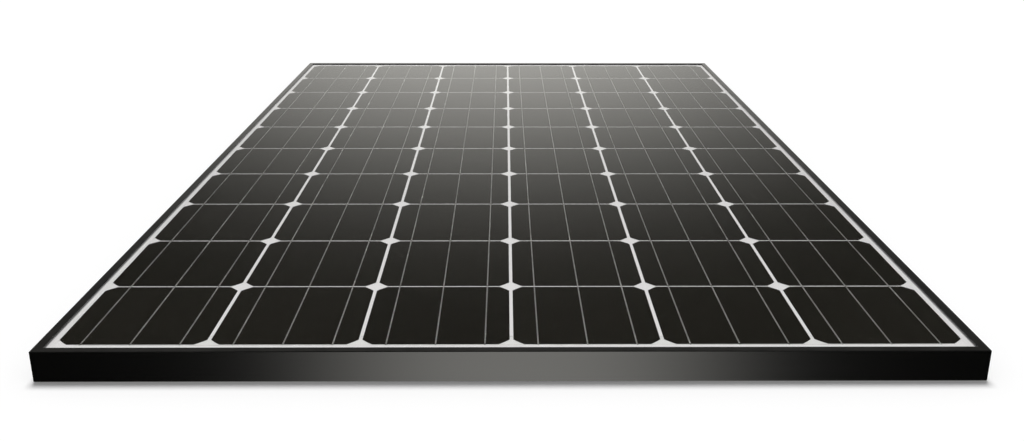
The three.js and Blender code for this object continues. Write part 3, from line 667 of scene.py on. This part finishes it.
ribbon_reach = ribbon_width / 2 + ribbon_clear
segment_start = np.array([-half, *(ribbon_x + ribbon_reach)])
segment_end = np.array([*(ribbon_x - ribbon_reach), half])
welled_x, welled_y, segment = np.meshgrid(
    string_x, row_y[:-1] + row_pitch / 2, np.arange(len(segment_start)), indexing="ij"
)
welled_reach = gap / 2 - welled_clear
welled_low = [welled_x + segment_start[segment], welled_y - welled_reach, pocket_floor - welled_sink]
welled_high = [welled_x + segment_end[segment], welled_y + welled_reach, wafer_top - welled_clear]
mesh_piece("white_ridges", *boxes(welled_low, welled_high), white_layer, "white_encapsulant")


# Backsheet: a laminated white polyester sheet, pressed on from behind. The ribbons and the gaps
# between the cells show through it as faint ridges and hollows.
sheet_dark, sheet_light = (0.72, 0.72, 0.71), (0.77, 0.77, 0.765)
sheet_roughness = 0.45
sheet_scale = 900
sheet_grain = 0.08
ridge_half_width = 0.0016
hollow_half_width = 0.003
pressed_height, pressed_strength = 0.0002, 0.5


def from_middle(tree, coordinate, pitch):
    """How far a point is from the middle of its cell along one axis. The middles lie half a pitch past
    each whole pitch."""
    within = reckon(tree, "FLOORED_MODULO", coordinate, pitch)
    return reckon(tree, "ABSOLUTE", reckon(tree, "SUBTRACT", within, pitch / 2))


def inside(tree, coordinate, reach):
    """1 where a coordinate is less than this reach from 0 on either side, and 0 past it."""
    return reckon(tree, "LESS_THAN", reckon(tree, "ABSOLUTE", coordinate), reach)


white_sheet, tree, place = blank("white_sheet")
axes = put(tree, "SeparateXYZ", {0: place}).outputs
off_string = from_middle(tree, axes["X"], string_pitch)
off_row = from_middle(tree, axes["Y"], row_pitch)
to_outer = reckon(tree, "ABSOLUTE", reckon(tree, "SUBTRACT", off_string, ribbon_x[-1]))
to_ribbon = reckon(tree, "MINIMUM", off_string, to_outer)
to_column_gap = reckon(tree, "SUBTRACT", string_pitch / 2, off_string)
to_row_gap = reckon(tree, "SUBTRACT", row_pitch / 2, off_row)
to_gap = reckon(tree, "MINIMUM", to_column_gap, to_row_gap)
ridges = slope(tree, to_ribbon, ridge_half_width, 0)
hollows = slope(tree, to_gap, hollow_half_width, 0)
in_grid = reckon(
    tree,
    "MULTIPLY",
    inside(tree, axes["X"], strings * string_pitch / 2),
    inside(tree, axes["Y"], rows * row_pitch / 2),
)
pressed = reckon(tree, "MULTIPLY", reckon(tree, "SUBTRACT", ridges, hollows), in_grid)
shown_through = raised(tree, pressed, pressed_strength, pressed_height)
sheet_tone, sheet_height = mottled(tree, place, sheet_scale)
sheet_surface = put(
    tree,
    "BsdfPrincipled",
    {
        "Base Color": mixed(tree, sheet_tone, sheet_dark, sheet_light),
        "Roughness": sheet_roughness,
        "Normal": raised(tree, sheet_height, sheet_grain, Normal=shown_through),
    },
)
coat(finish(white_sheet, tree, sheet_surface), "backsheet")


# Junction box: an adhesive pad, a moulded base with its terminals, and a lid that snaps shut. Base
# and lid are moulded in black plastic with a fine sparked texture, and their edges are rounded.
box_rounding = 0.0004
box_rounding_steps = 2
rounded_from = math.radians(50)
same_point = 0.00001
same_plane = math.radians(0.5)

coat(
    matt(
        "white_silicone", (0.68, 0.68, 0.66), (0.76, 0.76, 0.74), scale=120, roughness=0.45, grain=0.2
    ),
    "junction_box_adhesive",
)
moulded = matt(
    "moulded_black",
    grey(0.016),
    grey(0.024),
    scale=900,
    roughness=0.42,
    grain=0.5,
    distance=0.00012,
    specular=0.5,
)
coat(moulded, "junction_box_base", "junction_box_lid")
coat(
    matt("black_rubber", grey(0.012), grey(0.02), scale=300, roughness=0.7, grain=0.2),
    "junction_box_lid_seal",
)

for name in ("junction_box_base", "junction_box_lid"):
    weld = nodes[name].modifiers.new("weld", "WELD")
    weld.merge_threshold = same_point
    flat = nodes[name].modifiers.new("flat", "DECIMATE")
    flat.decimate_type = "DISSOLVE"
    flat.angle_limit = same_plane
    rounded = nodes[name].modifiers.new("rounded", "BEVEL")
    rounded.width = box_rounding
    rounded.segments = box_rounding_steps
    rounded.limit_method = "ANGLE"
    rounded.angle_limit = rounded_from
    rounded.use_clamp_overlap = True


# Terminals and clips: stamped copper plates, tinned, and a spring-steel clip on each that holds the
# lead's end. The plates sit on seats moulded in the base.
clip_metal = (0.55, 0.56, 0.57)
clip_roughness = (0.2, 0.35)
clip_stretch = (700, 30, 30)

spring_steel = bare_metal("spring_steel", clip_metal, clip_stretch, clip_roughness)
for number in (1, 2, 3, 4):
    coat(tinned, f"terminal_{number}")
    coat(spring_steel, f"ribbon_clip_{number}")


# Bypass diodes: axial diodes soldered between neighbouring terminals. A moulded black barrel with
# rounded ends and a silver band at one end, on a tinned lead.
lead_radius = 0.00065
lead_tip, lead_point = 0.0005, 0.0001
barrel_radius = 0.0027
barrel_half = 0.0046
barrel_rounding = 0.0006
barrel_foot = 0.0006
barrel_black, band_silver = grey(0.018), (0.5, 0.5, 0.49)
barrel_roughness = (0.3, 0.4)
barrel_grain = 0.15
band_start_share, band_end_share = 0.62, 0.8
lathe_steps = 32
rounding_points = 5


def lathed(profile, centre):
    """A shape turned about the x axis through centre: the profile gives x and radius, the angle runs
    round it, so y is radius times cosine and z is radius times sine. Gives points and faces."""
    turn = np.linspace(0, 2 * math.pi, lathe_steps, endpoint=False)
    x, radius = profile[:, :1], profile[:, 1:]
    points = np.stack(np.broadcast_arrays(x, radius * np.cos(turn), radius * np.sin(turn)), -1) + centre
    return points.reshape(-1, 3), tube_faces(len(profile), lathe_steps)


def both_ends(half_profile):
    """A profile with its first half mirrored in x for the second."""
    half_profile = np.array(half_profile)
    return np.concatenate([half_profile, half_profile[::-1] * [-1, 1]])


diode_plastic, tree, place = blank("diode_plastic")
along = put(tree, "Attribute", attribute_name="along").outputs["Fac"]
past_start = reckon(tree, "GREATER_THAN", along, band_start_share)
before_end = reckon(tree, "LESS_THAN", along, band_end_share)
on_band = reckon(tree, "MULTIPLY", past_start, before_end)
diode_tone, diode_height = mottled(tree, place, scale=600)
diode_surface = put(
    tree,
    "BsdfPrincipled",
    {
        "Base Color": mixed(tree, on_band, barrel_black, band_silver),
        "Roughness": between(tree, diode_tone, *barrel_roughness),
        "Normal": raised(tree, diode_height, barrel_grain),
    },
)
finish(diode_plastic, tree, diode_surface)

# The barrel's profile: up from the lead, round a quarter circle, along, and the same again mirrored
rounding = np.linspace(0, math.pi / 2, rounding_points)
shoulder_x = -barrel_half + barrel_rounding * (1 - np.cos(rounding))
shoulder_radius = barrel_radius - barrel_rounding * (1 - np.sin(rounding))
shoulder = np.stack([shoulder_x, shoulder_radius], -1)
barrel = both_ends([[-barrel_half, barrel_foot], *shoulder])
for number in (1, 2, 3):
    low, high = map(np.array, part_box(f"bypass_diode_{number}"))
    centre = (low + high) / 2
    lead_half = (high[0] - low[0]) / 2
    lead = both_ends([[-lead_half, lead_tip], [-lead_half + lead_point, lead_radius]])
    points, faces = lathed(barrel, centre)
    made = mesh_piece(f"diode_barrel_{number}", points, faces, diode_plastic, "diode_plastic")
    share = (points[:, 0] - centre[0] + barrel_half) / (2 * barrel_half)
    made.data.attributes.new("along", "FLOAT", "POINT").data.foreach_set("value", share.astype(np.float32))
    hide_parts(f"bypass_diode_{number}")
    mesh_piece(f"diode_lead_{number}", *lathed(lead, centre), tinned, "tinned_metal")


# Cable glands: a domed hexagon nut on each stub of the box, and a rubber seal inside it that grips
# the output lead. The nuts are moulded in the same plastic as the box and the seals are pressed.
flats, thread_radius, mouth_radius = 0.014, 0.0058, 0.004
dome_length, dome_wall, dome_round, dome_points = 0.0035, 0.0006, 0.0018, 9
seal_bore, seal_round, seal_points = 0.003, 0.0004, 5
corner_slope = math.tan(math.radians(60))
gland_steps = 96

# The hexagon's radius at each angle: half its width over the cosine of the angle from a flat's middle
gland_turn = np.linspace(0, 2 * math.pi, gland_steps, endpoint=False)
hexagon = flats / 2 / np.cos(gland_turn % (math.pi / 3) - math.pi / 6)
chamfer = (hexagon.max() - flats / 2) / corner_slope


def turned_ring(y, radius, centre):
    """A closed ring about the y axis: row by row, y and a radius for each angle, so x is radius times
    cosine and z is radius times sine. The last row joins the first."""
    y, x, z = np.broadcast_arrays(y[:, None], radius * np.cos(gland_turn), radius * np.sin(gland_turn))
    points = np.stack([x, y, z], -1).reshape(-1, 3) + centre
    return points, grid_faces(len(y), gland_steps, join_rows=True, join_columns=True)


def quarter(radius, points):
    """A quarter circle of a profile: how far each point lies along y and out, from its centre."""
    turn = np.linspace(0, math.pi / 2, points)
    return np.sin(turn) * radius, np.cos(turn) * radius


def gland_nut(mouth, back, seal_end):
    """The nut from mouth to back, with a step inside where the seal ends. Outside, the radius is the
    smaller of the hexagon and two cones that cut its corners, then the dome's. Inside are the mouth
    and the thread."""
    flats_end = mouth + dome_length
    chamfer_y = np.array([0, chamfer / 2, chamfer])
    flats_y = np.concatenate([back - chamfer_y, flats_end + chamfer_y[::-1]])
    from_end = np.minimum(back - flats_y, flats_y - flats_end)
    outside = np.minimum(hexagon, flats / 2 + from_end[:, None] * corner_slope)
    over, out = quarter(dome_round, dome_points)
    wide = thread_radius + dome_wall
    round_y = [flats_end, *(mouth + dome_round - over), mouth, seal_end, seal_end, back]
    dome = [wide, *(wide - dome_round + out)]
    bore = [mouth_radius, mouth_radius, thread_radius, thread_radius]
    round_radius = np.array([*dome, *bore])[:, None] * np.ones(gland_steps)
    return np.concatenate([flats_y, round_y]), np.concatenate([outside, round_radius])


def gland_seal(front, back, outer):
    """The seal: a tube with its four edges rounded. Its profile runs along the outside from back to
    front, then along the bore from front to back."""
    over, out = quarter(seal_round, seal_points)
    front_y, back_y = front + seal_round - over, back - seal_round + over
    y = np.concatenate([back_y[::-1], front_y, front_y[::-1], back_y])
    swell = np.concatenate([out[::-1], out])
    radius = np.concatenate([outer - seal_round + swell, seal_bore + seal_round - swell])
    return y, radius[:, None] * np.ones(gland_steps)


gland_rubber = matt("gland_rubber", grey(0.02), grey(0.03), scale=400, roughness=0.65, grain=0.2)
for side in ("left", "right"):
    low, high = map(np.array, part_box(f"cable_gland_seal_{side}"))
    nut_low, nut_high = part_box(f"cable_gland_nut_{side}")
    centre = (low + high) / 2 * [1, 0, 1]
    seal_shape = gland_seal(low[1], high[1], (high[0] - low[0]) / 2)
    nut_shape = gland_nut(nut_low.y, nut_high.y, low[1])
    seal = mesh_piece(
        f"gland_seal_{side}", *turned_ring(*seal_shape, centre), gland_rubber, "black_rubber"
    )
    nut = mesh_piece(f"gland_nut_{side}", *turned_ring(*nut_shape, centre), moulded, "black_plastic")
    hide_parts(f"cable_gland_seal_{side}")
    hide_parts(f"cable_gland_nut_{side}")


# Studio: a plain white floor and an even white surround. The floor shows the panel's shadow, and
# from below it is clear, so that the underside can be seen.
floor_half = 4
floor_dark, floor_light = grey(0.99), grey(1)
floor_lift = 0.06

white_floor, tree, place = blank("white_floor")
floor_tone, _ = mottled(tree, place, scale=2)
paint = put(tree, "BsdfDiffuse", {"Color": mixed(tree, floor_tone, floor_dark, floor_light)})
lift = put(tree, "Emission", {"Color": clear_white, "Strength": floor_lift})
lit = put(tree, "AddShader", {0: paint.outputs[0], 1: lift.outputs[0]})
from_below = put(tree, "NewGeometry").outputs["Backfacing"]
finish(white_floor, tree, opened(tree, from_below, lit))

floor_corners = np.array([[-1, -1, 0], [1, -1, 0], [1, 1, 0], [-1, 1, 0]]) * floor_half
floor_mesh = bpy.data.meshes.new("floor")
floor_mesh.from_pydata(floor_corners.tolist(), [], [[0, 1, 2, 3]])
floor_mesh.materials.append(white_floor)
floor = bpy.data.objects.new("floor", floor_mesh)
scene.collection.objects.link(floor)
floor.visible_diffuse = False
floor.visible_glossy = False
floor.visible_transmission = False
floor.visible_shadow = False


# Light: a broad lamp high behind the panel, whose shadow falls just before the front rail, and one
# from below for the underside. What glass and rails mirror is a surround of its own, which no other
# ray sees: dark, with a glow low behind the panel and soft light low around it and below.
def sun(name, elevation, azimuth, strength, width):
    """A distant lamp: elevation above the floor, azimuth from +Y towards +X and width in degrees."""
    lamp = bpy.data.objects.new(name, bpy.data.lights.new(name, "SUN"))
    lamp.data.energy = strength
    lamp.data.angle = math.radians(width)
    up, round_z = math.radians(elevation), math.radians(azimuth)
    lamp.matrix_world = Matrix.Rotation(-round_z, 4, "Z") @ Matrix.Rotation(up - math.pi / 2, 4, "X")
    lamp.visible_camera = False
    lamp.visible_glossy = False
    scene.collection.objects.link(lamp)


sun("main_lamp", elevation=72, azimuth=0, strength=2.2, width=22)
sun("under_lamp", elevation=-60, azimuth=20, strength=1.8, width=30)

# The surround's lights: how bright each is, then its place and ends in degrees. The spread of a bell
# curve is in degrees to the power of the bell.
dome_level, glow_through = 0.3, 0.25
glow_peak, glow_spread, glow_narrow, glow_middle = 1.297, 3460, 0.52, -0.7
rim_glow, rim_spread = 0.1, 200
wall_glow, wall_start, wall_full = 0.25, 40, 80
strip_glow, strip_height, strip_spread = 4.2, -27, 162
strip_middle, strip_half_width, strip_fade = 1, 10, 7
low_glow, low_start, low_full = 1, 55, 90
below_glow, below_height, below_spread = 0.9, -66, 260
mirrored_tone = (1, 0.985, 0.93)

world = bpy.data.worlds.new("surround")
scene.world = world
world.use_nodes = True
world.cycles.sampling_method = "NONE"
tree = world.node_tree
tree.nodes.clear()


def step(operation, *values):
    """One step of arithmetic in the surround's tree."""
    return reckon(tree, operation, *values)


def bell(offset, spread, power=2):
    """A bell curve: 1 where the offset is 0, falling as e to the minus offset to a power over the spread."""
    return step("EXPONENT", step("DIVIDE", step("POWER", step("ABSOLUTE", offset), power), -spread))


# Where a ray looks: elevation above the floor, azimuth from +Y towards +X
sky = put(tree, "SeparateXYZ", {0: put(tree, "TexCoord").outputs["Generated"]}).outputs
elevation = step("MULTIPLY", step("ARCSINE", sky["Z"]), 180 / math.pi)
azimuth = step("MULTIPLY", step("ARCTAN2", sky["X"], sky["Y"]), 180 / math.pi)

# The glow behind the panel, and the rim of light round the horizon, brighter at the sides
aside = step("SUBTRACT", azimuth, glow_middle)
high_squared = step("MULTIPLY", elevation, elevation)
from_glow = step("SQRT", step("MULTIPLY_ADD", step("MULTIPLY", aside, aside), glow_narrow, high_squared))
glow = step("MINIMUM", step("MULTIPLY", bell(from_glow, glow_spread, 3), glow_peak), 1)
wall = slope(tree, step("ABSOLUTE", azimuth), wall_start, wall_full, rim_glow, wall_glow)
rim = step("MULTIPLY", bell(elevation, rim_spread), wall)

# The strip before the front rail, the lights low at the sides and the light far below
from_behind = step("FLOORED_MODULO", step("ADD", azimuth, strip_middle), 360)
from_front = step("ABSOLUTE", step("SUBTRACT", from_behind, 180))
strip_outer, strip_inner = strip_half_width + strip_fade, strip_half_width - strip_fade
front_strip = slope(tree, from_front, strip_outer, strip_inner, 0, strip_glow)
low_sides = slope(tree, from_front, low_start, low_full, 0, low_glow)
low_band = bell(step("SUBTRACT", elevation, strip_height), strip_spread)
low_lights = step("MULTIPLY", low_band, step("MAXIMUM", front_strip, low_sides))
far_below = step("MULTIPLY", bell(step("SUBTRACT", elevation, below_height), below_spread), below_glow)
mirrored = step("MAXIMUM", step("MAXIMUM", glow, rim), step("MAXIMUM", low_lights, far_below))

# Metal under the glass sees a part of the glow too
ray = put(tree, "LightPath").outputs
seen_glow = step("MULTIPLY", ray["Is Transmission Ray"], glow)
dome = step("MULTIPLY_ADD", seen_glow, glow_through, dome_level)
bounced = step("MULTIPLY", ray["Is Glossy Ray"], step("SUBTRACT", 1, ray["Is Transmission Ray"]))
lit_by = between(tree, bounced, dome, mirrored)
seen = between(tree, ray["Is Camera Ray"], lit_by, 1)
tone = mixed(tree, bounced, clear_white, mirrored_tone)
surround = put(tree, "Background", {"Color": tone, "Strength": seen})
put(tree, "OutputWorld", {"Surface": surround.outputs[0]})

scene.view_settings.view_transform = "Standard"
